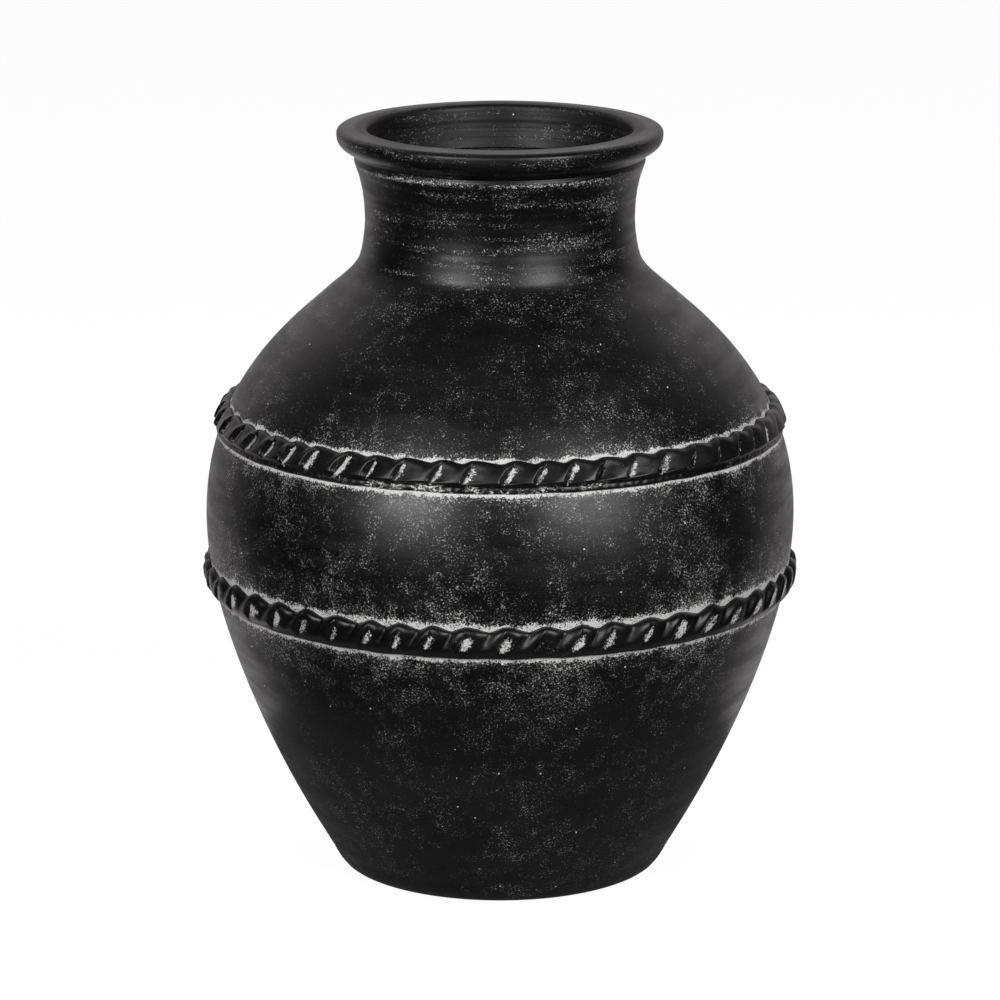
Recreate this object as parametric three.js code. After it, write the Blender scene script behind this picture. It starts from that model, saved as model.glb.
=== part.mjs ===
// A large clay jar with a rolled lip and two rope bands, built up in sections as a potter builds it.
//
// A flat disc carries the lower wall, the belly, the shoulder and the neck, each raised on the one below.
// A rolled coil closes the mouth. Two coils, pressed at a slant with the thumb, are laid over the seams
// below and above the belly, where they also strengthen the wall. Every section is joined to its
// neighbour by a thin layer of slip, which is left open here as a gap.
//
// Units are millimetres. +Z is up, and the origin is the centre of the flat foot.
import * as THREE from "three";

// ---- Driving dimensions ----

// Outline of the jar, from the foot up. A slope is millimetres of radius for each millimetre of height.
const footRadius = 78; // the flat that the jar stands on
const heelRadius = 87.5; // where the rounded heel turns into the wall
const heelHeight = 3.5;
const heelSlope = 0.63;
const bellyRadius = 159;
const bellyRise = 192; // heel to the widest point
const shoulderRise = 123; // widest point to the root of the neck
const neckRootRadius = 91;
const neckRootSlope = -1.23;
const waistRadius = 72.3; // narrowest point of the neck
const waistRise = 39.5; // root of the neck to the waist
const lipSeatRadius = 80;
const lipSeatRise = 35; // waist to the seat of the lip
const lipSeatSlope = 0.44;

// Clay
const wallThickness = 8;
const baseThickness = 11;
const slipGap = 0.3; // the layer of slip between two pieces

// Rolled lip, a coil turned outwards over the neck, with a broad domed top
const lipReach = 7; // seat's outer edge out to the lip's widest point
const lipUnderHeight = 8.5; // seat up to the widest point
const lipCrownHeight = 4.5; // widest point up to the crest, the top of the jar
const lipCrestInset = 6.5; // seat's outer edge in to the crest
const lipMouthInset = 2.6; // crest in to the edge of the mouth
const lipMouthDrop = 4; // crest down to the edge of the mouth

// Rope bands
const ropeWidth = 17;
const ropeHeight = 5; // how proud a band stands on the wall
const ropeLobes = 52; // thumb marks around the jar, an even number so that opposite sides match
const thumbDepth = 2.5;
const thumbLean = 0.22; // slant of a thumb mark, in lobes from the middle of the band to its edge
const upperRopeRise = 53.3; // belly to the middle of the upper band
const lowerRopeDrop = 32.7; // belly to the middle of the lower band

// Seam between the shoulder and the neck, above the root of the neck
const neckSeamRise = 13;

// How full each stage of the outline is: handle lengths as shares of the stage's rise, at its start and end
const lowerFullness = [0.3, 0.315];
const shoulderFullness = [0.47, 0.4];
const neckFullness = [0.25, 0.73];
const throatFullness = [0.35, 0.47];
const lipSweep = 0.6; // how far the underside sweeps out before it turns up, as a share of its reach
const lipSweepRise = 0.25; // and how far it has risen there, as a share of its height
const lipTurn = 0.45; // length of the upright turn into the widest point, as a share of the height

// Section of a rope band
const ropeSquareness = 2.5; // 2 is half an ellipse, and more is a flatter band with rounder edges
const ropeStations = [-1, -0.6, 0, 0.6, 1]; // from the band's lower edge to its upper edge
const steepSide = 0.3; // share of a thumb mark that falls steeply, and the rest rises gently

// Facets
const turnSegments = 72;
const heelSteps = 4; // facets in the rounded heel
const sectionStep = 20; // greatest height of one facet of the wall
const outlineSamples = 80; // samples in each stage of the outline
const lipArcSteps = 4; // facets in each curve of the lip
const stationsPerLobe = [0, 0.3, 0.68, 0.86]; // deepest line, slope, crest and fall of a thumb mark

// ---- Heights that follow ----
const bellyHeight = heelHeight + bellyRise;
const neckRootHeight = bellyHeight + shoulderRise;
const waistHeight = neckRootHeight + waistRise;
const lipSeatHeight = waistHeight + lipSeatRise;
const lowerRopeHeight = bellyHeight - lowerRopeDrop;
const upperRopeHeight = bellyHeight + upperRopeRise;
const neckSeamHeight = neckRootHeight + neckSeamRise;

// ---- The outline ----

// One smooth stage of the outline between two points that each have a radius, a height and a slope.
function stage(from, to, [leaveShare, reachShare]) {
  const rise = to.height - from.height;
  const start = new THREE.Vector2(from.radius, from.height);
  const end = new THREE.Vector2(to.radius, to.height);
  const leave = new THREE.Vector2(from.slope, 1).setLength(rise * leaveShare);
  const reach = new THREE.Vector2(to.slope, 1).setLength(rise * reachShare);
  return new THREE.CubicBezierCurve(start, start.clone().add(leave), end.clone().sub(reach), end);
}

const heel = { radius: heelRadius, height: heelHeight, slope: heelSlope };
const belly = { radius: bellyRadius, height: bellyHeight, slope: 0 };
const neckRoot = { radius: neckRootRadius, height: neckRootHeight, slope: neckRootSlope };
const waist = { radius: waistRadius, height: waistHeight, slope: 0 };
const lipSeat = { radius: lipSeatRadius, height: lipSeatHeight, slope: lipSeatSlope };

const outline = [
  stage(heel, belly, lowerFullness),
  stage(belly, neckRoot, shoulderFullness),
  stage(neckRoot, waist, neckFullness),
  stage(waist, lipSeat, throatFullness),
].flatMap((curve, i) => curve.getPoints(outlineSamples).slice(i ? 1 : 0));

// The outer radius and slope of the wall at a height.
function wallAt(height) {
  const above = outline.findIndex((point) => point.y >= height);
  const i = above < 0 ? outline.length - 1 : Math.max(above, 1);
  const [low, high] = [outline[i - 1], outline[i]];
  const slope = (high.x - low.x) / (high.y - low.y);
  return { radius: low.x + slope * (height - low.y), slope };
}

// The inner radius: the wall keeps its thickness square to its face.
function boreAt(height) {
  const { radius, slope } = wallAt(height);
  return radius - wallThickness * Math.hypot(1, slope);
}

// ---- Finishes ----

// Smoothed black clay, satin all over.
function blackClay() {
  return new THREE.MeshStandardMaterial({ color: "#1e1d1f", roughness: 0.5, metalness: 0 });
}

// The same clay on the ropes, where handling has left it a little shinier.
function ropeClay() {
  return new THREE.MeshStandardMaterial({ color: "#232224", roughness: 0.45, metalness: 0 });
}

// ---- Making pieces ----
const jar = new THREE.Group();

function addPiece(name, geometry, material) {
  const piece = new THREE.Mesh(geometry.rotateX(Math.PI / 2), material); // a lathe turns about Y
  piece.name = name;
  jar.add(piece);
}

// A turned piece. The profile runs up the outside and down the inside.
function turned(profile, segments = turnSegments) {
  return new THREE.LatheGeometry([...profile, profile[0]], segments);
}

// The stretch of wall between two heights.
function wallSection(bottom, top) {
  const steps = Math.max(2, Math.ceil((top - bottom) / sectionStep));
  const heights = Array.from({ length: steps + 1 }, (_, i) => bottom + ((top - bottom) * i) / steps);
  const outside = heights.map((height) => new THREE.Vector2(wallAt(height).radius, height));
  const inside = heights.map((height) => new THREE.Vector2(boreAt(height), height)).reverse();
  return turned([...outside, ...inside]);
}

// The disc, with its rounded heel. Its profile starts and ends on the axis.
function baseDisc() {
  const rounding = new THREE.QuadraticBezierCurve(
    new THREE.Vector2(footRadius, 0),
    new THREE.Vector2(heelRadius - heelSlope * heelHeight, 0),
    new THREE.Vector2(heelRadius, heelHeight),
  );
  const profile = [
    new THREE.Vector2(0, 0),
    ...rounding.getPoints(heelSteps),
    new THREE.Vector2(wallAt(baseThickness).radius, baseThickness),
    new THREE.Vector2(0, baseThickness),
  ];
  return new THREE.LatheGeometry(profile, turnSegments);
}

// The rolled lip: round under the roll, over its crown to the crest, and in to the mouth and the bore.
function rolledLip() {
  const at = (radius, height) => new THREE.Vector2(radius, height);
  const seat = lipSeatHeight + slipGap;
  const widest = at(lipSeatRadius + lipReach, lipSeatHeight + lipUnderHeight);
  const crest = at(lipSeatRadius - lipCrestInset, widest.y + lipCrownHeight);
  const mouth = at(crest.x - lipMouthInset, crest.y - lipMouthDrop);
  const under = new THREE.CubicBezierCurve(
    at(lipSeatRadius, seat),
    at(lipSeatRadius + lipReach * lipSweep, seat + lipUnderHeight * lipSweepRise),
    at(widest.x, widest.y - lipUnderHeight * lipTurn),
    widest,
  );
  const crown = new THREE.CubicBezierCurve(
    widest, at(widest.x, crest.y), at(widest.x, crest.y), crest,
  );
  const inner = new THREE.QuadraticBezierCurve(crest, at(mouth.x, crest.y), mouth);
  return turned([
    ...under.getPoints(lipArcSteps),
    ...crown.getPoints(lipArcSteps).slice(1),
    ...inner.getPoints(lipArcSteps).slice(1),
    at(boreAt(lipSeatHeight), seat),
  ]);
}

// How deep a thumb mark is, from 0 to 1, at a place counted in lobes from its deepest line.
// It falls steeply on one side and rises gently on the other, as a thumb pushed sideways leaves it.
function thumbMark(lobes) {
  const gentleSide = 1 - steepSide;
  const place = lobes - Math.floor(lobes);
  return place < gentleSide
    ? THREE.MathUtils.smoothstep(gentleSide - place, 0, gentleSide)
    : THREE.MathUtils.smoothstep(place - gentleSide, 0, steepSide);
}

// The section of a rope band at one place around it, as points on the band's outside and then its back.
function ropeSection(middle, lobes) {
  const { slope } = wallAt(middle);
  const lengthwise = Math.hypot(1, slope);
  const point = (across, proud) => {
    const height = middle + (across * ropeWidth) / 2 / lengthwise;
    const out = slipGap + proud;
    return new THREE.Vector2(
      wallAt(height).radius + out / lengthwise,
      height - (out * slope) / lengthwise,
    );
  };
  const outside = ropeStations.map((across) => {
    const crown = Math.sqrt(1 - Math.abs(across) ** ropeSquareness);
    const press = 1 - (thumbDepth / ropeHeight) * thumbMark(lobes - thumbLean * across);
    return point(across, ropeHeight * crown * press);
  });
  return [...outside, point(0, 0)];
}

// A rope band: a turned ring whose every column of vertices takes the section of its own place.
function ropeBand(middle) {
  const columns = ropeLobes * stationsPerLobe.length;
  const geometry = turned(ropeSection(middle, 0), columns);
  const position = geometry.getAttribute("position");
  const rows = position.count / (columns + 1);
  for (let column = 0; column <= columns; column++) {
    const lobe = Math.floor(column / stationsPerLobe.length) % ropeLobes;
    const place = lobe + stationsPerLobe[column % stationsPerLobe.length];
    const turn = (place / ropeLobes) * 2 * Math.PI;
    const section = ropeSection(middle, place);
    for (let row = 0; row < rows; row++) {
      const point = section[row % section.length];
      position.setXYZ(
        column * rows + row, point.x * Math.sin(turn), point.y, point.x * Math.cos(turn),
      );
    }
  }
  return geometry;
}

// ---- The jar, from the foot up ----
addPiece("base_disc", baseDisc(), blackClay());
addPiece("lower_wall", wallSection(baseThickness + slipGap, lowerRopeHeight), blackClay());
addPiece("belly_wall", wallSection(lowerRopeHeight + slipGap, upperRopeHeight), blackClay());
addPiece("shoulder_wall", wallSection(upperRopeHeight + slipGap, neckSeamHeight), blackClay());
addPiece("neck_collar", wallSection(neckSeamHeight + slipGap, lipSeatHeight), blackClay());
addPiece("rolled_lip", rolledLip(), blackClay());
addPiece("lower_rope_band", ropeBand(lowerRopeHeight), ropeClay());
addPiece("upper_rope_band", ropeBand(upperRopeHeight), ropeClay());

export default jar;
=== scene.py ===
# %% [markdown]
# # A large black clay jar with two rope bands
#
# The jar is about 41 cm tall. A potter builds it up in sections: a flat disc, a lower wall, a belly, a
# shoulder, a neck, and a coil rolled outwards for the lip. Two more coils are laid over the seams above
# and below the belly, and pressed at a slant with the thumb, so they look like rope. The clay is black and
# satin smooth, and a thin pale wash has been wiped over it, which stays in the pores, along the edges of
# the ropes and in the thumb marks.
#
# Every piece is made here as a fine, closed mesh that stands for the plain solid in the frame.

# %% Load the frame
import math

import bmesh
import bpy
import numpy as np
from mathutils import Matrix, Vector


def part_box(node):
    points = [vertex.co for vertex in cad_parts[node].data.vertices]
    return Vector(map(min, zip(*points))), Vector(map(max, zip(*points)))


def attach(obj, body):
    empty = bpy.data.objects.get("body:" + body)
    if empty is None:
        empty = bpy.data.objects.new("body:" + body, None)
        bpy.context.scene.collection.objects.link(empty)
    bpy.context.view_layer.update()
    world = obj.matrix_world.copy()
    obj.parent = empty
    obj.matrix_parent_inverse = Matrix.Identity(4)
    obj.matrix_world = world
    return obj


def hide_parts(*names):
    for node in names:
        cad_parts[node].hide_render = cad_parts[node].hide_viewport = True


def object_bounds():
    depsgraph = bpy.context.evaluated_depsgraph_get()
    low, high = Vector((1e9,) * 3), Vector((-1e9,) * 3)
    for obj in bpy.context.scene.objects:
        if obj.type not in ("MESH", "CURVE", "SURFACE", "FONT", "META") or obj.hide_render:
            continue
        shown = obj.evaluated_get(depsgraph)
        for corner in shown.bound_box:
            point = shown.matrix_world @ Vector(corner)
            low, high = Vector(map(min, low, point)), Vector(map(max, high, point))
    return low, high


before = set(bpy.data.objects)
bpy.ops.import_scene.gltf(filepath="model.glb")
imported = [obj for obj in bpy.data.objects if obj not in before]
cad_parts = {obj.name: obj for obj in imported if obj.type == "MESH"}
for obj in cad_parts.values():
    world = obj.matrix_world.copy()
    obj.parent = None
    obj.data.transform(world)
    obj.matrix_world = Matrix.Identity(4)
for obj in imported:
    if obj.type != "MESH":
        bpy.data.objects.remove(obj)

CAD_BOX = [list(corner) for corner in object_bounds()]
MM = 0.001
print("frame nodes:", ", ".join(sorted(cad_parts)))

# %% [markdown]
# ## The camera
#
# A long lens from nearly three metres keeps the jar's upright lines upright. It looks down a little, just
# enough to see into the mouth. The camera comes first.

# %% Set the camera
VIEW_PITCH = math.radians(13.9)
VIEW_DISTANCE = 2.8
VIEW_LENS = 186
AIM_HEIGHT = 0.201

camera = bpy.data.objects.new("camera", bpy.data.cameras.new("camera"))
camera.data.lens = VIEW_LENS
camera.location = (
    0, -VIEW_DISTANCE * math.cos(VIEW_PITCH), AIM_HEIGHT + VIEW_DISTANCE * math.sin(VIEW_PITCH)
)
camera.rotation_euler = (math.pi / 2 - VIEW_PITCH, 0, 0)
bpy.context.scene.collection.objects.link(camera)
bpy.context.scene.camera = camera
print("camera at", [round(value, 3) for value in camera.location])

# %% [markdown]
# ## The outline, measured from the frame
#
# A jar is all outline. The frame's walls are faceted, but their corners lie on the true curve, so the
# curve can be had back by drawing a smooth line through them. Each wall is read along one upright line at
# its front, which gives an outer radius and a bore radius at every level.

# %% Read the walls' levels
WALLS = ["lower_wall", "belly_wall", "shoulder_wall", "neck_collar"]
SEAM = 0.01 * MM  # vertices this close to the front line count as on it
MICRON = 6  # decimals of a metre
SAME_LEVEL = 0.1 * MM
LEVEL_SPACING = 2 * MM  # closer levels are the two sides of a joint, and one is enough


def front_points(node):
    """The different (height, radius) corners of a node on its front line, from the lowest up."""
    corners = (v.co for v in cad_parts[node].data.vertices)
    return sorted({
        (round(co.z, MICRON), round(-co.y, MICRON)) for co in corners if abs(co.x) < SEAM and co.y < -SEAM
    })


def wall_levels():
    """Height, outer radius and bore radius at each level of the walls, from the foot up."""
    levels = []
    for node in WALLS:
        rows = []
        for height, radius in front_points(node):
            if not rows or height - rows[-1][0] > SAME_LEVEL:
                rows.append([height, radius, radius])
            rows[-1][1] = max(rows[-1][1], radius)
            rows[-1][2] = min(rows[-1][2], radius)
        levels += [row for row in rows if not levels or row[0] - levels[-1][0] > LEVEL_SPACING]
    return np.array(levels)


def smooth_through(places, values):
    """A smooth curve through the points, as a function of place."""
    places, values = np.asarray(places), np.asarray(values)
    slopes = np.gradient(values, places, edge_order=2)

    def curve(place):
        i = np.clip(np.searchsorted(places, place, side="right") - 1, 0, len(places) - 2)
        span = places[i + 1] - places[i]
        t = (place - places[i]) / span
        start = (1 + 2 * t) * (1 - t) ** 2 * values[i] + t * (1 - t) ** 2 * span * slopes[i]
        end = t * t * (3 - 2 * t) * values[i + 1] - t * t * (1 - t) * span * slopes[i + 1]
        return start + end

    return curve


levels = wall_levels()
outer_radius = smooth_through(levels[:, 0], levels[:, 1])
bore_radius = smooth_through(levels[:, 0], levels[:, 2])
print(f"outline: {len(levels)} levels, widest radius {levels[:, 1].max() / MM:.1f} mm")

# %% Name the joints between the pieces
BASE_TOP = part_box("base_disc")[1].z


def seam_between(below, above):
    """The height halfway through the layer of slip between two pieces."""
    return (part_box(below)[1].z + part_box(above)[0].z) / 2


LOWER_SEAM = seam_between("lower_wall", "belly_wall")
UPPER_SEAM = seam_between("belly_wall", "shoulder_wall")
NECK_SEAM = seam_between("shoulder_wall", "neck_collar")
LIP_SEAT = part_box("neck_collar")[1].z
print("joints at", [round(z / MM, 1) for z in (BASE_TOP, LOWER_SEAM, UPPER_SEAM, NECK_SEAM, LIP_SEAT)])


def wall_slope(height):
    """How fast the outer wall widens with height."""
    step = 0.5 * MM
    return (outer_radius(height + step) - outer_radius(height - step)) / (2 * step)


# %% [markdown]
# ## Clay that was turned by hand
#
# No hand-built wall is a perfect circle. Each piece starts as a perfect turned shape, and then the same
# gentle unevenness moves all of them, so that the joints still meet. The unevenness is a few slow waves
# around the jar, and it fades to nothing at the foot, which has been tapped flat.

# %% Helpers for smooth steps and seeded waves
def smoothstep(low, high, value):
    """Rises from 0 at low to 1 at high, level at both ends."""
    t = np.clip((value - low) / (high - low), 0, 1)
    return t * t * (3 - 2 * t)


def waves(seed, turns, climbs, angle, height):
    """Seeded waves around the jar, between about -1 and 1. A climb is waves per metre of height."""
    rng = np.random.default_rng(seed)
    swell = np.zeros_like(angle)
    for turn in turns:
        for climb in climbs:
            around, up = rng.uniform(0, 2 * np.pi, 2)
            swell += np.cos(turn * angle + around) * np.cos(2 * np.pi * climb * height + up)
    return swell / math.sqrt(len(turns) * len(climbs))


UNEVENNESS = 0.22 * MM
UNEVEN_TURNS = (2, 3, 5)
UNEVEN_CLIMBS = (2.0, 5.0, 9.0)
FOOT_FLATNESS = 25 * MM  # the unevenness is whole from this height up
LEAST_RADIUS = 10 * MM  # nearer the axis than this, the unevenness fades out


def read_values(mesh, name=None):
    """A mesh's vertex places as rows of x, y and z, or the values of one of its attributes."""
    if name:
        values = np.empty(len(mesh.vertices))
        mesh.attributes[name].data.foreach_get("value", values)
        return values
    co = np.empty(len(mesh.vertices) * 3)
    mesh.vertices.foreach_get("co", co)
    return co.reshape(-1, 3)


def hand_turned(mesh):
    """Moves a turned mesh's vertices in and out by the unevenness of the hand-built wall."""
    co = read_values(mesh)
    angle = np.arctan2(co[:, 1], co[:, 0])
    radius = np.hypot(co[:, 0], co[:, 1])
    shift = UNEVENNESS * waves(3, UNEVEN_TURNS, UNEVEN_CLIMBS, angle, co[:, 2])
    shift *= smoothstep(0, FOOT_FLATNESS, co[:, 2])
    co[:, :2] *= (1 + shift / np.maximum(radius, LEAST_RADIUS))[:, None]
    mesh.vertices.foreach_set("co", co.ravel())
    mesh.update()


# %% [markdown]
# ## Turning a section into a piece
#
# The potter's wheel has its twin in Blender: the spin operator. A section is a closed loop of a few edges,
# and spin carries it once around the axis and welds the end to the start. Values written on the section's
# vertices, such as how far each one is from the rope, are copied with them, so a material can read them.

# %% Spin a section into a closed piece
WEDGES = 52  # as many as there are thumb marks on a rope
CREASE = math.radians(35)  # sharper edges than this stay crisp


def turned_mesh(name, section, steps, marks=None, closed=True):
    """Spins (radius, height) points around the axis. marks gives each point's value for each label.

    A wedge is spun first, in so many steps, and then copies of it are spun around the rest of the turn
    and welded. That gives the same mesh as one long spin, in far less time.
    """
    shape = bmesh.new()
    layers = {label: shape.verts.layers.float.new(label) for label in marks or {}}
    verts = [shape.verts.new((0, -radius, height)) for radius, height in section]
    for label, values in (marks or {}).items():
        for vert, value in zip(verts, values):
            vert[layers[label]] = value
    edges = [shape.edges.new(pair) for pair in zip(verts, verts[1:])]
    if closed:
        edges.append(shape.edges.new((verts[-1], verts[0])))
    wedge = 2 * math.pi / WEDGES
    bmesh.ops.spin(shape, geom=verts + edges, cent=(0, 0, 0), axis=(0, 0, 1), angle=wedge, steps=steps)
    bmesh.ops.spin(
        shape, geom=shape.verts[:] + shape.edges[:] + shape.faces[:], cent=(0, 0, 0), axis=(0, 0, 1),
        angle=wedge * (WEDGES - 1), steps=WEDGES - 1, use_duplicate=True,
    )
    bmesh.ops.remove_doubles(shape, verts=shape.verts, dist=0.001 * MM)
    bmesh.ops.recalc_face_normals(shape, faces=shape.faces)
    mesh = bpy.data.meshes.new(name)
    shape.to_mesh(mesh)
    shape.free()
    return mesh


def place_piece(mesh, material, node, crisp=True):
    """Makes a finished mesh the piece that stands for a node of the frame, with or without crisp edges."""
    mesh.shade_smooth()
    if crisp:
        mesh.set_sharp_from_angle(angle=CREASE)
    mesh.materials.append(material)
    piece = bpy.data.objects.new(mesh.name, mesh)
    bpy.context.scene.collection.objects.link(piece)
    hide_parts(node)
    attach(piece, "root")
    print(f"{piece.name}: {len(mesh.vertices)} vertices, {len(mesh.polygons)} faces")


# %% [markdown]
# ## Where the thumb marks fall
#
# Each rope is a coil with about fifty thumb marks. A person spaces them by feel, so no two gaps are
# alike, and nor are the slant, the depth, or how much clay each press pushes up over the rope's top edge.
# The marks are drawn up first, from a seed, because both the rope and the wash on the wall beside it
# have to follow the same ones.

# %% Draw up the marks on a rope
ROPE_WIDTH = 17 * MM
ROPE_MARKS = WEDGES
LOW_EDGE_WANDER = 0.35 * MM


def drawn_marks(seed, lean, edge_lift, dip, stroke_width):
    """Start angle, lean, depth, edge lift and wash of each mark on a rope, around the whole jar.

    dip is how far along from one mark to the next the rope's top edge is lowest.
    """
    rng = np.random.default_rng(seed)
    gaps = rng.uniform(0.84, 1.16, ROPE_MARKS)
    starts = np.concatenate([[0], np.cumsum(gaps)])
    return {
        "starts": starts / starts[-1] * 2 * np.pi,
        "lean": lean * rng.uniform(0.75, 1.25, ROPE_MARKS),
        "depth": rng.uniform(0.8, 1.2, ROPE_MARKS),
        "lift": edge_lift * rng.uniform(0.7, 1.25, ROPE_MARKS),
        "wash": rng.uniform(0, 1, ROPE_MARKS),
        "length": rng.uniform(0.8, 1.15, ROPE_MARKS),
        "stroke": stroke_width * rng.uniform(0.7, 1.35, ROPE_MARKS),
        "dip": dip,
    }


def between_marks(marks, key, place):
    """A mark's value, passing smoothly to the next mark's along the rope. place is counted in marks."""
    i = np.floor(place).astype(int)
    t = smoothstep(0, 1, place - i)
    values = marks[key]
    return values[i % ROPE_MARKS] * (1 - t) + values[(i + 1) % ROPE_MARKS] * t


def place_in_marks(marks, angle):
    """Where an angle lies along the rope, counted in marks: 3.25 is a quarter of the way from 3 to 4."""
    turned = np.mod(angle, 2 * np.pi)
    return np.interp(turned, marks["starts"], np.arange(ROPE_MARKS + 1.0))


UPPER_MARKS = drawn_marks(11, lean=0.56, edge_lift=0.8 * MM, dip=0.64, stroke_width=3.3 * MM)
LOWER_MARKS = drawn_marks(23, lean=0.50, edge_lift=1.4 * MM, dip=0.56, stroke_width=4.2 * MM)


def top_edge_lift(marks, place):
    """How far the rope's top edge is pushed up: round at each mark, and lowest at the dip after it."""
    part, dip = place - np.floor(place), marks["dip"]
    falling = np.cos(np.pi * part / dip)
    rising = -np.cos(np.pi * (part - dip) / (1 - dip))
    swell = (1 + np.where(part < dip, falling, rising)) / 2
    return between_marks(marks, "lift", place) * (2 * swell ** 0.8 - 1)


def low_edge_wander(angle, seed):
    """The rope's lower edge is smeared onto the wall by a finger, and wanders a little."""
    return LOW_EDGE_WANDER * waves(seed, (7, 13, 29, 41), (0.0,), angle, np.zeros_like(angle))


print("mark spacing:", round(2 * math.pi * outer_radius(LOWER_SEAM) / ROPE_MARKS / MM, 1), "mm")

# %% [markdown]
# ## Materials
#
# The base is low-fired earthenware with a black slip, rubbed smooth: it reflects about four percent
# of the light, like most minerals, with a broad soft highlight. Over it lies a thin pale wash, mostly
# wiped off. What is left shows the making: solid lines in the corners beside the ropes, dry-brushed
# strokes in the thumb marks, and flecks that thin out into patches. All of it is one material with the
# amount of wash as its only question, so the walls, the ropes and the lip agree.

# %% Colour and node helpers
def linear(hex_colour):
    """An sRGB hex colour as the linear colour that Blender's nodes take."""
    channels = [int(hex_colour[i:i + 2], 16) / 255 for i in (1, 3, 5)]
    return [c / 12.92 if c <= 0.04045 else ((c + 0.055) / 1.055) ** 2.4 for c in channels] + [1]


def add(tree, kind, inputs=None, **settings):
    """Adds a node, sets it up, and feeds its inputs with values or with other nodes' outputs."""
    node = tree.nodes.new(kind)
    for name, value in settings.items():
        setattr(node, name, value)
    for name, value in (inputs or {}).items():
        if isinstance(value, bpy.types.NodeSocket):
            tree.links.new(value, node.inputs[name])
        else:
            node.inputs[name].default_value = value
    return node


def per_size(size):
    """The scale of a noise pattern whose grains are about this size."""
    return 1 / size


# %% Black slip with a wiped wash
BLACK_SLIP = linear("#090809")
WORN_SLIP = linear("#171516")
PALE_WASH = linear("#eeedeb")
FLECK = 0.85 * MM  # a real pore holds less: this is as fine as a view of the whole jar can show
PATCH = 45 * MM
CLUMP = 9 * MM
FRAY = 1.8 * MM
DROP_SPACING = 11 * MM
GRAIN_RANGE = 0.28  # how far the grains must rise above the wiped level to be solid wash
FAINTNESS = 2.8  # a higher power leaves fewer of the grains solid
WORN_REACH = 38 * MM
RUBBED_REACH = 7 * MM
PORE = 0.8 * MM
RIPPLE = 2.5 * MM
SKIN_DEPTH = 0.10 * MM
DRY_ROUGHNESS = 0.85  # the wash is chalky, and hardly shines


def noise(tree, place, size, detail=2.0, roughness=0.5):
    """Cloudy noise between about 0.25 and 0.75, whose largest grains are about this size."""
    return add(
        tree, "ShaderNodeTexNoise",
        {"Vector": place, "Scale": per_size(size), "Detail": detail, "Roughness": roughness},
    ).outputs["Fac"]


def brushed(tree, place, squeeze=0.15):
    """Stretches a pattern around the jar, the way a cloth or a finger on the wheel would."""
    return add(
        tree, "ShaderNodeMapping", {"Vector": place, "Scale": (squeeze, squeeze, 1)}, vector_type="POINT"
    ).outputs["Vector"]


def calculate(tree, operation, *values):
    """One sum of a Math node, with numbers or other nodes' outputs."""
    return add(tree, "ShaderNodeMath", dict(enumerate(values)), operation=operation).outputs[0]


def total(tree, *terms):
    """The sum of several numbers or node outputs."""
    sum_so_far = terms[0]
    for term in terms[1:]:
        sum_so_far = calculate(tree, "ADD", sum_so_far, term)
    return sum_so_far


def spread(tree, value, low, high, from_low, from_high):
    """Maps a value smoothly from one range to another."""
    return add(
        tree, "ShaderNodeMapRange",
        {"Value": value, "From Min": from_low, "From Max": from_high, "To Min": low, "To Max": high},
        interpolation_type="SMOOTHSTEP",
    ).outputs["Result"]


def wash_left(tree, place, density):
    """The amount of wash: most grains are faint, few are solid, and all are where the density is high."""
    grains = noise(tree, place, FLECK, detail=2.0, roughness=0.6)
    above = calculate(tree, "SUBTRACT", total(tree, grains, density), 0.5)
    share = add(tree, "ShaderNodeClamp", {"Value": calculate(tree, "DIVIDE", above, GRAIN_RANGE)})
    return calculate(tree, "POWER", share.outputs["Result"], FAINTNESS)


def stray_flecks(tree, place):
    """A few single drops of wash, some millimetres to centimetres apart."""
    cells = add(tree, "ShaderNodeTexVoronoi", {"Vector": place, "Scale": per_size(DROP_SPACING)})
    chosen = add(tree, "ShaderNodeSeparateColor", {"Color": cells.outputs["Color"]}).outputs["Red"]
    drop = spread(tree, cells.outputs["Distance"], 0.5, 0, 0.025, 0.06)
    return calculate(tree, "MULTIPLY", drop, calculate(tree, "GREATER_THAN", chosen, 0.6))


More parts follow.
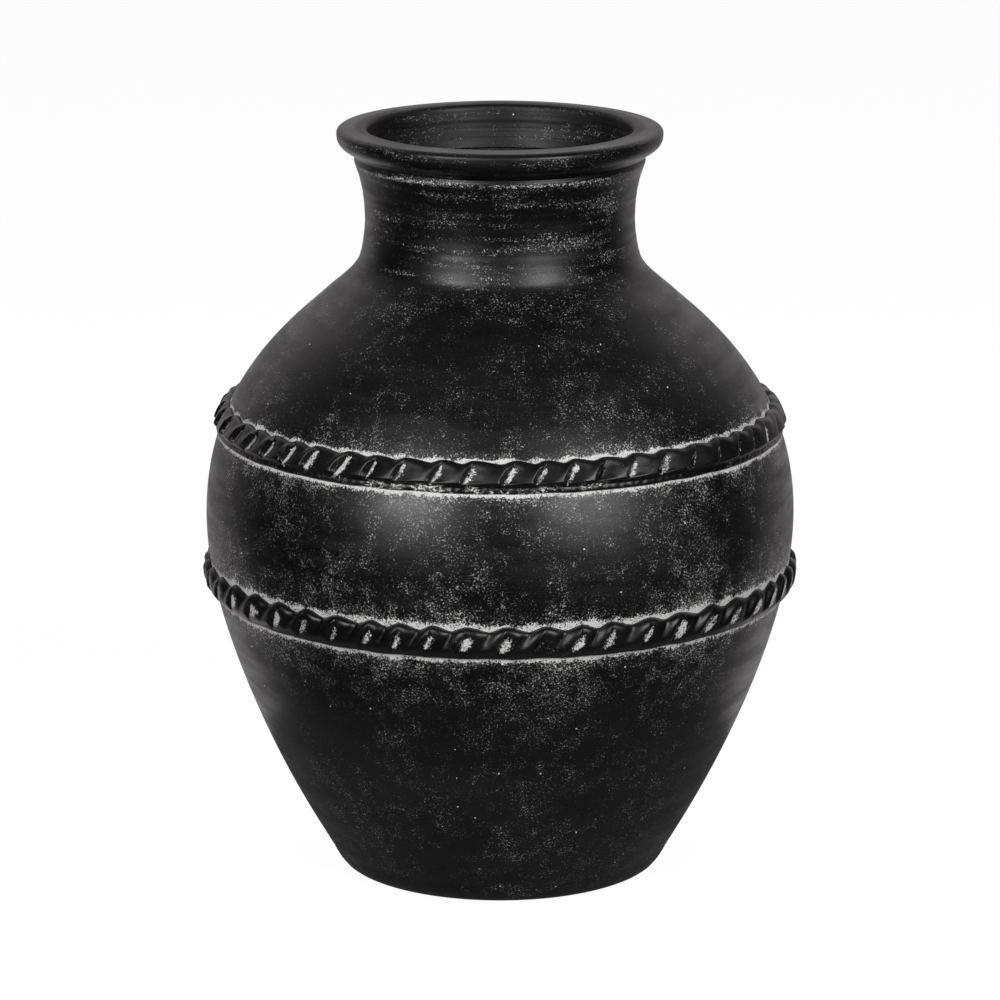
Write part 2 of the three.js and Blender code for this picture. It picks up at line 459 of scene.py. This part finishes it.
def wiped_clay(name, wash_density, roughness=0.36):
    """Black slip with a pale wash. wash_density(tree, object coordinates) says how much was left where."""
    material = bpy.data.materials.new(name)
    material.use_nodes = True
    tree = material.node_tree
    shader = tree.nodes["Principled BSDF"]
    place = add(tree, "ShaderNodeTexCoord").outputs["Object"]
    wash = wash_left(tree, place, wash_density(tree, place))

    worn = spread(tree, noise(tree, brushed(tree, place, 0.4), WORN_REACH, detail=5), 0, 1, 0.42, 0.74)
    slip = add(tree, "ShaderNodeMix", {"Factor": worn, 6: BLACK_SLIP, 7: WORN_SLIP}, data_type="RGBA")
    colour = add(
        tree, "ShaderNodeMix", {"Factor": wash, 6: slip.outputs[2], 7: PALE_WASH}, data_type="RGBA"
    )
    tree.links.new(colour.outputs[2], shader.inputs["Base Color"])

    rubbed = noise(tree, brushed(tree, place), RUBBED_REACH, detail=5)
    satin = spread(tree, rubbed, roughness - 0.05, roughness + 0.08, 0.3, 0.7)
    satin = total(tree, satin, calculate(tree, "MULTIPLY", attribute(tree, "inside"), 0.14))
    dry = add(tree, "ShaderNodeMix", {"Factor": wash, "A": satin, "B": DRY_ROUGHNESS}, data_type="FLOAT")
    tree.links.new(dry.outputs[0], shader.inputs["Roughness"])
    shader.inputs["IOR"].default_value = 1.5

    pores = noise(tree, place, PORE, detail=3)
    ripples = calculate(tree, "MULTIPLY", noise(tree, brushed(tree, place), RIPPLE, detail=2), 0.8)
    skin = total(tree, pores, ripples, calculate(tree, "MULTIPLY", wash, 0.6))
    bump = add(tree, "ShaderNodeBump", {"Height": skin, "Distance": SKIN_DEPTH, "Strength": 0.5})
    tree.links.new(bump.outputs["Normal"], shader.inputs["Normal"])
    return material


def attribute(tree, name):
    """A value that was written on the piece's vertices."""
    return add(tree, "ShaderNodeAttribute", attribute_name=name).outputs["Fac"]


def patchy(tree, place, low, high):
    """A density that changes in patches the size of a wiping hand, with small clumps in them."""
    patches = noise(tree, place, PATCH, detail=2.0)
    clumps = noise(tree, place, CLUMP, detail=2.0)
    both = total(
        tree, calculate(tree, "MULTIPLY", patches, 0.47), calculate(tree, "MULTIPLY", clumps, 0.53)
    )
    return spread(tree, both, low, high, 0.36, 0.64)


def frayed(tree, place, distance, amount):
    """A distance whose even edge is broken up into a ragged one."""
    ragged = calculate(tree, "SUBTRACT", noise(tree, place, FRAY, detail=3, roughness=0.65), 0.5)
    return total(tree, distance, calculate(tree, "MULTIPLY", ragged, amount))


# %% The walls' wash: patches, and lines beside the ropes
# Slipped earthenware, wiped with a cloth: black and satin, with a grey bloom where flecks are close.
BELLY_MIDDLE = (LOWER_SEAM + UPPER_SEAM) / 2
BELLY_REACH = 34 * MM, 50 * MM  # from the middle: where the extra wash begins to fade, and where it ends


def wall_density(tree, place):
    """Patches all over, a line beside each rope, and a zone of flecks that thins out away from it."""
    beside = attribute(tree, "from_rope")  # 1 at the far edge of the line
    line = spread(tree, frayed(tree, place, beside, 3.0), 0.27, 0, 0.3, 1.5)
    near = spread(tree, beside, 0.06, 0, 1.0, 5)
    zone = spread(tree, beside, 0.055, 0, 2, 20)
    height = add(tree, "ShaderNodeSeparateXYZ", {"Vector": place}).outputs["Z"]
    from_middle = calculate(tree, "ABSOLUTE", calculate(tree, "SUBTRACT", height, BELLY_MIDDLE))
    belly = spread(tree, from_middle, 0.014, 0, *BELLY_REACH)  # between the ropes it was wiped least
    patches = patchy(tree, place, -0.135, 0.014)
    return total(tree, patches, line, near, zone, belly, stray_flecks(tree, place))


WALL_CLAY = wiped_clay("black_slip_wiped_with_pale_wash", wall_density)


# %% The ropes' wash: a dry-brushed stroke in each mark
# The same slip on thumb-pressed clay: smoother and shinier, with chalky strokes and a few pale crumbs.
CRUMB = 2.6 * MM
SMEAR = 9 * MM


def rope_density(tree, place):
    """A stroke in each thumb mark, and the outlines of crumbs on the ledge, smeared in some places."""
    stroke = spread(tree, frayed(tree, place, attribute(tree, "stroke"), 6.0), 0.40, 0, -1.3, 0.9)
    crumb_place = brushed(tree, place, 0.55)
    cracks = add(
        tree, "ShaderNodeTexVoronoi", {"Vector": crumb_place, "Scale": per_size(CRUMB)},
        feature="DISTANCE_TO_EDGE",
    ).outputs["Distance"]
    outlines = spread(tree, frayed(tree, place, cracks, 0.6), 0.25, 0, 0.02, 0.22)
    smeared = spread(tree, noise(tree, place, SMEAR), 0.25, 1, 0.40, 0.54)
    on_ledge = total(tree, calculate(tree, "MULTIPLY", outlines, smeared), 0.08)
    crumbs = calculate(tree, "MULTIPLY", attribute(tree, "ledge"), on_ledge)
    return total(tree, patchy(tree, place, -0.24, -0.04), stroke, crumbs)


ROPE_CLAY = wiped_clay("pressed_rope_of_black_clay", rope_density, roughness=0.34)


# %% The neck's wash: streaks left along the throwing lines
# The same slip on ringed, wheel-turned clay: the wash stays in thin level streaks and under the lip.
STREAK = 5 * MM


def neck_density(tree, place):
    """Level streaks, none in the groove as painted shade, most just below it, and less down the bore."""
    streaks = noise(tree, brushed(tree, place, 0.07), STREAK, detail=3, roughness=0.6)
    wiped = total(
        tree, patchy(tree, place, -0.12, -0.02), spread(tree, streaks, -0.06, 0.11, 0.36, 0.64)
    )
    from_seat = attribute(tree, "from_seat")  # in millimetres
    # Painted shade: the wash is taken out of the groove, so it reads as dark as the shadow under the lip.
    painted_groove_shade = spread(tree, from_seat, -0.16, 0, 3.4, 5.4)
    below_groove = spread(tree, from_seat, 0.07, 0, 5.2, 7.8)
    under_lip = spread(tree, from_seat, 0.045, 0, 7, 30)
    dark_inside = calculate(tree, "MULTIPLY", attribute(tree, "inside"), -0.03)
    return total(tree, wiped, painted_groove_shade, below_groove, under_lip, dark_inside, stray_flecks(tree, place))


NECK_CLAY = wiped_clay("black_slip_with_wash_along_throwing_lines", neck_density)
print("materials:", [m.name for m in bpy.data.materials])

# %% [markdown]
# ## The walls
#
# Each wall is a section of its own: up the outside on the jar's outline, across the top, and down the
# bore. Each vertex outside carries its distance from the nearest rope's edge, counted in widths of that
# edge's line of wash, and the wash follows it. The lines are about 2 mm wide, so the rows are as close.

# %% Build the walls
WALL_STEPS = 20
PLAIN_STEPS = 10  # for pieces with no rope beside them
ROW = 2.4 * MM
BORE_ROW = 9 * MM
FAR = 60.0  # a distance from the rope for places that never see it


def rows_between(low, high, row):
    """Evenly spaced heights from low to high, about a row apart."""
    return np.linspace(low, high, max(2, int(round((high - low) / row)) + 1))


def wall_section(low, high):
    """Up the outside of a wall and down its bore, with a mark that says which is which."""
    up = rows_between(low, high, ROW)
    down = rows_between(low, high, BORE_ROW)[::-1]
    section = list(zip(outer_radius(up), up)) + list(zip(bore_radius(down), down))
    return section, [1.0] * len(up) + [0.0] * len(down)


LINES = [
    # seam, marks, how closely the line follows the domes, width above, width below, seed
    (LOWER_SEAM, LOWER_MARKS, 0.2, 2.7 * MM, 2.3 * MM, 5),
    (UPPER_SEAM, UPPER_MARKS, 0.8, 1.5 * MM, 1.6 * MM, 6),
]
RAGGED_TURNS = (9, 23, 37, 58, 83)
RAGGED_SHARE = 0.28  # how much wider and narrower the lines get around the jar


def rope_edges(angle, height):
    """Distance from the nearest rope's edge, in widths of its line of wash, and negative beneath it."""
    nearest = np.full_like(angle, FAR)
    for seam, marks, follow, above, below, seed in LINES:
        along = math.hypot(1, wall_slope(seam))
        top = ROPE_WIDTH / 2 + follow * top_edge_lift(marks, place_in_marks(marks, angle))
        bottom = -ROPE_WIDTH / 2 + low_edge_wander(angle, seed)
        across = (height - seam) * along
        ragged = 1 + RAGGED_SHARE * waves(seed + 50, RAGGED_TURNS, (0.0,), angle, np.zeros_like(angle))
        nearest = np.minimum(
            nearest, np.maximum((across - top) / above, (bottom - across) / below) / ragged
        )
    return nearest


def measure_from_ropes(mesh):
    """Writes each vertex's distance from the ropes on the mesh."""
    co = read_values(mesh)
    distance = rope_edges(np.arctan2(co[:, 1], co[:, 0]), co[:, 2])
    distance = np.where(read_values(mesh, "outside") > 0.5, distance, FAR)
    mesh.attributes.new("from_rope", "FLOAT", "POINT").data.foreach_set("value", distance)


def build_wall(name, node, low, high):
    """Turns one wall, marks it for its wash, and puts it in its place."""
    section, outside = wall_section(low, high)
    mesh = turned_mesh(name, section, WALL_STEPS, {"outside": outside})
    measure_from_ropes(mesh)
    hand_turned(mesh)
    place_piece(mesh, WALL_CLAY, node)


build_wall("fired_lower_wall", "lower_wall", BASE_TOP, LOWER_SEAM)
build_wall("fired_belly", "belly_wall", LOWER_SEAM, UPPER_SEAM)
build_wall("fired_shoulder", "shoulder_wall", UPPER_SEAM, NECK_SEAM)

# %% [markdown]
# ## The base
#
# The base is a slab with a rounded heel. Its outline is read from the frame as the walls' is, and the
# section runs from the axis to the heel and back to the axis, so spinning it makes a closed disc.

# %% Build the base
def chord_curve(points, count):
    """Evenly spaced points on a smooth curve through the given ones."""
    points = np.array(points)
    lengths = np.concatenate([[0], np.cumsum(np.hypot(*np.diff(points, axis=0).T))])
    places = np.linspace(0, lengths[-1], count)
    return list(zip(*(smooth_through(lengths, points[:, k])(places) for k in (0, 1))))


HEEL_POINTS = 14
FOOT_RINGS = 14
INSIDE_RINGS = 12

heel = [(radius, height) for height, radius in front_points("base_disc")]
heel_curve = chord_curve(heel, HEEL_POINTS)[:-1] + [(outer_radius(BASE_TOP), BASE_TOP)]
foot_rings = [(radius, 0) for radius in np.linspace(0, heel[0][0], FOOT_RINGS)[:-1]]
inside_rings = [(radius, BASE_TOP) for radius in np.linspace(bore_radius(BASE_TOP), 0, INSIDE_RINGS)]
base_section = foot_rings + heel_curve + inside_rings
base_mesh = turned_mesh(
    "fired_base", base_section, PLAIN_STEPS, {"from_rope": [FAR] * len(base_section)}, closed=False
)
hand_turned(base_mesh)
place_piece(base_mesh, WALL_CLAY, "base_disc")

# %% [markdown]
# ## The neck
#
# The neck was turned on the wheel, and the potter's fingers left fine rings on it, deeper inside than
# out, and a groove just under the lip. The rings are in the mesh: its rows are close, and each takes a
# small seeded step in or out.

# %% Build the neck
NECK_ROW = 0.9 * MM
OUTSIDE_RINGS = 4 * MM, 0.10 * MM  # spacing and depth
BORE_RINGS = 2.8 * MM, 0.35 * MM
GROOVE_DEPTH = 1.9 * MM
GROOVE_WIDTH = 1.5 * MM
GROOVE_DROP = 2.4 * MM  # below the lip's seat
JOINT_STEP = 1.37 * MM
JOINT_REACH = 5.5 * MM


def finger_rings(heights, seed, spacing, depth):
    """Soft, uneven rings up a wall, about so far apart and so deep."""
    rng = np.random.default_rng(seed)
    knots = np.arange(heights.min() - 3 * spacing, heights.max() + 4 * spacing, spacing / 2)
    knots = knots + rng.uniform(-0.2, 0.2, len(knots)) * spacing
    steps = rng.uniform(-1, 1, len(knots)) * depth
    fade = smoothstep(0, 2 * MM, heights - heights.min()) * smoothstep(0, 2 * MM, heights.max() - heights)
    return smooth_through(knots, steps)(heights) * fade


def wiped_joint(height):
    """How far the bore comes in where a wet finger has smoothed the lip's joint away."""
    return JOINT_STEP * np.exp(-np.abs(height - LIP_SEAT) / JOINT_REACH)


neck_up = rows_between(NECK_SEAM, LIP_SEAT, NECK_ROW)
neck_down = neck_up[::-1]
groove = GROOVE_DEPTH * np.exp(-(((LIP_SEAT - GROOVE_DROP - neck_up) / GROOVE_WIDTH) ** 2))
neck_outside = outer_radius(neck_up) + finger_rings(neck_up, 31, *OUTSIDE_RINGS) - groove
neck_bore = bore_radius(neck_down) + finger_rings(neck_down, 37, *BORE_RINGS) - wiped_joint(neck_down)
neck_section = list(zip(neck_outside, neck_up)) + list(zip(neck_bore, neck_down))
neck_mesh = turned_mesh(
    "fired_neck", neck_section, PLAIN_STEPS,
    {"from_seat": [(LIP_SEAT - z) / MM for z in neck_up] + [FAR] * len(neck_down),
     "inside": [0.0] * len(neck_up) + [1.0] * len(neck_down)},
)
hand_turned(neck_mesh)
place_piece(neck_mesh, NECK_CLAY, "neck_collar")

# %% [markdown]
# ## The rolled lip
#
# The lip is a coil turned outwards. Its section is read from the frame: the corners are put in order
# around their middle, starting from the seat's outer edge, and a smooth curve is drawn through them. Its
# inner face gets rings like the bore's, and is brought in to meet it, so that the joint doesn't show.

# %% Build the lip
LIP_POINTS = 56
LIP_RINGS = 2.2 * MM, 0.16 * MM
BORE_FACE = 0.5 * MM  # the lip's inner face is what lies no farther out than this from its lowest point


def lip_outline():
    """The lip's (radius, height) corners, in order around its section."""
    corners = np.array([(radius, height) for height, radius in front_points("rolled_lip")])
    middle = corners.mean(0)
    turn = np.mod(np.arctan2(*(corners - middle).T[::-1]) + math.pi / 2, 2 * math.pi)
    ordered = corners[np.argsort(turn)]
    apart = np.hypot(*np.diff(ordered, axis=0).T) > SAME_LEVEL
    return ordered[np.concatenate([[True], apart])]


lip_curve = np.array(chord_curve(lip_outline(), LIP_POINTS))
lip_curve[[0, -1], 1] = LIP_SEAT
on_bore = lip_curve[:, 0] < lip_curve[-1, 0] + BORE_FACE
lip_curve[on_bore, 0] += finger_rings(lip_curve[on_bore, 1], 43, *LIP_RINGS)
lip_curve[on_bore, 0] -= wiped_joint(lip_curve[on_bore, 1])
outward = lip_curve[:, 0] - lip_curve[0, 0]
# The corner under the lip counts as the seat, so it gets the groove's painted shade: no wash.
in_corner = (lip_curve[:, 1] <= LIP_SEAT + MM) & (outward >= -MM)
lip_mesh = turned_mesh(
    "fired_lip", lip_curve, PLAIN_STEPS,
    {"from_seat": np.where(in_corner, 0.0, FAR), "inside": 1 - smoothstep(-5 * MM, -1 * MM, outward)},
)
hand_turned(lip_mesh)
place_piece(lip_mesh, NECK_CLAY, "rolled_lip")

# %% [markdown]
# ## The rope bands
#
# Each rope is a coil pressed onto the wall over a seam. The thumb goes in at a slant and is pushed
# sideways: it leaves a leaf-shaped slit, a scoop that rises gently to the right, and a crest that drops
# steeply into the next mark. The clay it moves bulges over the rope's top edge as a row of low domes.
#
# The band starts as a plain section spun around the jar. Then each vertex is moved to its place, worked
# out from how far across the rope it is and where it lies between two marks.

# %% The shape of a pressed rope
ROPE_STEPS = 40
ROPE_ACROSS = 32  # points across the face
ROPE_BACK = 4  # and across the back
BARE_SIDE = math.radians(-46)  # the marks around here carry no stroke of wash
SMEARED_SIDE = math.radians(-95)  # and its ledge holds the most wash here, and at two other places
ROOT_DEPTH = 0.8 * MM  # the rope's edges and back sink this far into the wall, where the slip holds them
LOBE_TOP = 0.76  # from one mark to the next, the clay has risen to its crest here
LOBE_DROP = 0.86  # and from here it drops into the next mark
VALLEY_WIDTH = 0.17
SCOOP_MIDDLE = 0.08  # a little above the middle of the rope
SLIT_WIDTH = 0.75 * MM
SLIT_EDGE = 0.1 * MM  # the stroke of wash begins this far from the slit
BARE_SHARPNESS = 8  # a higher power keeps the bare marks closer to the bare side
CRUMB_TURNS = (90, 131, 173, 211)
CRUMB_CLIMBS = (0, 130, 240)
CRUMB_HEIGHT = 0.16 * MM
LEDGE_EDGES = -0.62, -0.42  # across the rope, where the ledge ends


def rope_relief(marks, angle, across, size):
    """How proud each point of the rope stands, its place in the marks, and its stroke of wash.

    across runs from -1 at the lower edge to 1 at the upper edge.
    """
    radius = outer_radius(size["seam"])
    offset = across * ROPE_WIDTH / 2
    lean = between_marks(marks, "lean", place_in_marks(marks, angle))
    place = place_in_marks(marks, angle - lean * offset / radius)
    part = place - np.floor(place)
    nearest = np.round(place)
    gap = 2 * np.pi * radius / ROPE_MARKS
    beside = (place - nearest) * gap  # along the rope from the nearest mark
    index = nearest.astype(int) % ROPE_MARKS
    depth = marks["depth"][index]

    body = (1 - np.clip(np.abs(across), 0, 1) ** 3) ** 0.5
    body *= 1 - size["sag"] * smoothstep(0.1, 0.9, -across)
    lobe = smoothstep(0.0, LOBE_TOP, part) * (1 - smoothstep(LOBE_DROP, 1.0, part))
    reach = 0.74 * (1 - 0.55 * part)
    window = np.exp(-((np.abs(across - SCOOP_MIDDLE) / reach) ** 4))
    deep = between_marks(marks, "depth", place)
    height = size["height"] * body * (1 - size["scoop"] * deep * (1 - lobe) * window)
    valley = np.exp(-(((part - marks["dip"]) / VALLEY_WIDTH) ** 2)) * smoothstep(-0.7, 0.7, across)
    height *= 1 - size["valley"] * deep * valley

    slit_reach = size["slit_length"] / 2 * marks["length"][index]
    taper = np.clip(1 - (offset / slit_reach) ** 2, 0, 1)
    height -= size["slit_depth"] * depth * taper * np.exp(-((beside / SLIT_WIDTH) ** 2))

    half_stroke = marks["stroke"][index] / 2
    rightward, upward = beside - SLIT_EDGE - half_stroke, offset - size["stroke_rise"]
    rightward = np.where(rightward > 0, 0.7, 1) * rightward
    leaf = np.hypot(rightward / half_stroke, upward / slit_reach)
    stroke = np.hypot(rightward, upward) * (1 - 1 / np.maximum(leaf, 0.05)) / MM
    facing = np.cos(marks["starts"][index] - BARE_SIDE)
    bare_share = size["bare_share"] + size["bare_side"] * np.clip(facing, 0, 1) ** BARE_SHARPNESS
    stroke += np.where(marks["wash"][index] < bare_share, 0.9 + half_stroke / MM, 0.0)
    return height, place, np.clip(stroke, -2, 4)


def build_rope(name, node, marks, size):
    """Spins a plain rope, then presses it: every vertex goes to its place in the relief."""
    around = np.concatenate([np.linspace(-1, 1, ROPE_ACROSS), np.linspace(1, -1, ROPE_BACK + 2)[1:-1]])
    back = np.array([0.0] * ROPE_ACROSS + [1.0] * ROPE_BACK)
    seam, half = size["seam"], ROPE_WIDTH / 2
    plain = list(zip(outer_radius(seam) + (1 - back) * size["height"], seam + around * half))
    mesh = turned_mesh(name, plain, ROPE_STEPS, {"across": around, "back": back})
    co, across, is_back = read_values(mesh), read_values(mesh, "across"), read_values(mesh, "back")
    angle = np.arctan2(co[:, 1], co[:, 0])

    proud, place, stroke = rope_relief(marks, angle, across, size)
    ledge = np.zeros(len(across))
    if size["ledge"]:
        crumbs = waves(size["seed"], CRUMB_TURNS, CRUMB_CLIMBS, angle, across * half)
        ledge = 1 - smoothstep(*LEDGE_EDGES, across)
        shelf = size["ledge"] * (1 - np.clip(-across, 0, 1) ** 8) ** 0.5 + CRUMB_HEIGHT * crumbs
        proud = proud * (1 - ledge) + shelf * ledge
        ledge *= 0.2 + 0.8 * smoothstep(-0.2, 0.6, np.cos(3 * (angle - SMEARED_SIDE)))
    proud = np.where(np.abs(across) > 0.999, -ROOT_DEPTH, proud)
    proud = np.where(is_back > 0.5, -ROOT_DEPTH, proud)

    slope = wall_slope(seam)
    along = math.hypot(1, slope)
    lift = top_edge_lift(marks, place) * smoothstep(-0.1, 1.0, across)
    drop = low_edge_wander(angle, size["edge_seed"]) * (1 - smoothstep(-1.0, 0.0, across))
    height = seam + (across * half + lift + drop) / along
    radius = outer_radius(height) + proud / along
    co[:, 0], co[:, 1] = radius * np.cos(angle), radius * np.sin(angle)
    co[:, 2] = height - proud * slope / along
    mesh.vertices.foreach_set("co", co.ravel())
    for label, values in (("stroke", stroke), ("ledge", ledge)):
        mesh.attributes.new(label, "FLOAT", "POINT").data.foreach_set("value", values)
    hand_turned(mesh)
    place_piece(mesh, ROPE_CLAY, node, crisp=False)


# %% Press the two ropes
LOWER_ROPE = {
    "seam": LOWER_SEAM, "height": 5.0 * MM, "scoop": 0.24, "valley": 0.42, "slit_depth": 1.5 * MM,
    "slit_length": 8.6 * MM, "stroke_rise": 0.8 * MM, "bare_share": 0.03, "bare_side": 0.15,
    "sag": 0.35, "ledge": 0, "seed": 41, "edge_seed": 5,
}
UPPER_ROPE = {
    "seam": UPPER_SEAM, "height": 5.0 * MM, "scoop": 0.42, "valley": 0.08, "slit_depth": 1.6 * MM,
    "slit_length": 9.6 * MM, "stroke_rise": 0.4 * MM, "bare_share": 0.02, "bare_side": 0.85,
    "sag": 0.0, "ledge": 1.7 * MM, "seed": 43, "edge_seed": 6,
}
build_rope("fired_lower_rope", "lower_rope_band", LOWER_MARKS, LOWER_ROPE)
build_rope("fired_upper_rope", "upper_rope_band", UPPER_MARKS, UPPER_ROPE)

# %% [markdown]
# ## The studio
#
# Black satin clay shows little but what it reflects. Two tall soft boxes in front, one on each side, draw
# the two broad highlights on the neck and the belly. They are area lamps, each aimed at the middle of the
# jar, and the camera doesn't see them.

# %% Light the jar
LAMP_DISTANCE = 3.2
LAMP_ELEVATION = math.radians(22)
LAMP_HEIGHT = 1.5
LAMP_RADIANCE = 8.0
SOFT_BOXES = [
    # name, azimuth, width
    ("left_soft_box", -35, 1.30),
    ("right_soft_box", 35, 1.35),
]
jar_middle = (CAD_BOX[0][2] + CAD_BOX[1][2]) / 2

for name, azimuth, width in SOFT_BOXES:
    lamp = bpy.data.lights.new(name, "AREA")
    lamp.shape, lamp.size, lamp.size_y = "RECTANGLE", width, LAMP_HEIGHT
    lamp.energy = LAMP_RADIANCE * math.pi * width * LAMP_HEIGHT
    box = bpy.data.objects.new(name, lamp)
    across, up = math.radians(azimuth), LAMP_ELEVATION
    away = Vector((math.sin(across) * math.cos(up), -math.cos(across) * math.cos(up), math.sin(up)))
    box.location = Vector((0, 0, jar_middle)) + LAMP_DISTANCE * away
    box.rotation_euler = (-away).to_track_quat("-Z", "Y").to_euler()
    box.visible_camera = False
    bpy.context.scene.collection.objects.link(box)
print("lights:", [box[0] for box in SOFT_BOXES])

# %% [markdown]
# ## The floor and the card
#
# The floor is a plain pale sweep with a glow of its own. It isn't reflected in the clay, because a white
# floor would wash out the lower wall. What the lower wall mirrors is a dark card, which only reflections
# see: a painted dark reflection of the floor near the jar, which the camera sees pale. Both are staging,
# and no part of the jar.

# %% Lay the floor and the card
FLOOR_REACH = 14
FLOOR_LEVEL = -0.05 * MM  # a hair under the foot, so that the two faces don't flicker together
CARD_REACH = 0.24
CARD_LEVEL = -0.2 * MM


def matte_paint(name, hex_colour, glow, specular):
    """A dull surface with a faint, even light of its own."""
    material = bpy.data.materials.new(name)
    material.use_nodes = True
    shader = material.node_tree.nodes["Principled BSDF"]
    shader.inputs["Base Color"].default_value = linear(hex_colour)
    shader.inputs["Roughness"].default_value = 1
    shader.inputs["Specular IOR Level"].default_value = specular
    shader.inputs["Emission Color"].default_value = (1, 1, 1, 1)
    shader.inputs["Emission Strength"].default_value = glow
    return material


def lay_disc(name, reach, level, paint):
    """A flat disc under the jar, staged so that it isn't taken for a piece of it."""
    shape = bmesh.new()
    bmesh.ops.create_circle(shape, cap_ends=True, segments=96, radius=reach)
    bmesh.ops.translate(shape, verts=shape.verts, vec=(0, 0, level))
    mesh = bpy.data.meshes.new(name)
    shape.to_mesh(mesh)
    shape.free()
    mesh.materials.append(paint)
    disc = bpy.data.objects.new(name, mesh)
    bpy.context.scene.collection.objects.link(disc)
    return disc


white_sweep = matte_paint("white_paper_sweep", "#858585", glow=0.92, specular=0)
floor = lay_disc("pale_floor", FLOOR_REACH, FLOOR_LEVEL, white_sweep)
floor.visible_glossy = floor.visible_diffuse = False
dark_reflection_paint = matte_paint("black_card_for_painted_reflection", "#101010", glow=0.13, specular=0.5)
card = lay_disc("painted_dark_reflection_card", CARD_REACH, CARD_LEVEL, dark_reflection_paint)
# Painted dark reflection: the card is seen in the clay's reflections only, not by the camera, diffuse
# light or shadows.
card.visible_camera = card.visible_diffuse = card.visible_shadow = False
print("staged:", floor.name, "and", card.name)

# %% [markdown]
# ## The room
#
# The world is a dim room that gets lighter towards the white wall behind the jar. The wall's reflection,
# seen at a glancing angle, is the thin pale rim that parts the jar from its background. The camera itself
# sees plain white, while the clay sees the room, with a trace of warmth from it.

# %% Fill the room
ROOM_TINT = (1, 0.95, 0.975, 1)
WHITE = (1, 1, 1, 1)

world = bpy.data.worlds.new("dim_room_with_a_white_wall_behind")
world.use_nodes = True
tree = world.node_tree
background = tree.nodes["Background"]
toward = add(
    tree, "ShaderNodeSeparateXYZ", {"Vector": add(tree, "ShaderNodeTexCoord").outputs["Generated"]}
).outputs
level_wall = spread(tree, toward["Y"], 0.005, 0.50, 0.38, 0.82)
ceiling_and_floor = spread(tree, toward["Y"], 0.06, 0.90, 0.22, 0.9)
steepness = spread(tree, calculate(tree, "ABSOLUTE", toward["Z"]), 0, 1, 0.15, 0.6)
room = add(
    tree, "ShaderNodeMix", {"Factor": steepness, "A": level_wall, "B": ceiling_and_floor},
    data_type="FLOAT",
).outputs[0]
seen = add(tree, "ShaderNodeLightPath").outputs["Is Camera Ray"]
glow = add(tree, "ShaderNodeMix", {"Factor": seen, "A": room, "B": 1.0}, data_type="FLOAT")
tint = add(tree, "ShaderNodeMix", {"Factor": seen, 6: ROOM_TINT, 7: WHITE}, data_type="RGBA")
tree.links.new(glow.outputs[0], background.inputs["Strength"])
tree.links.new(tint.outputs[2], background.inputs["Color"])
bpy.context.scene.world = world
bpy.context.scene.view_settings.view_transform = "Standard"
print("room:", world.name)
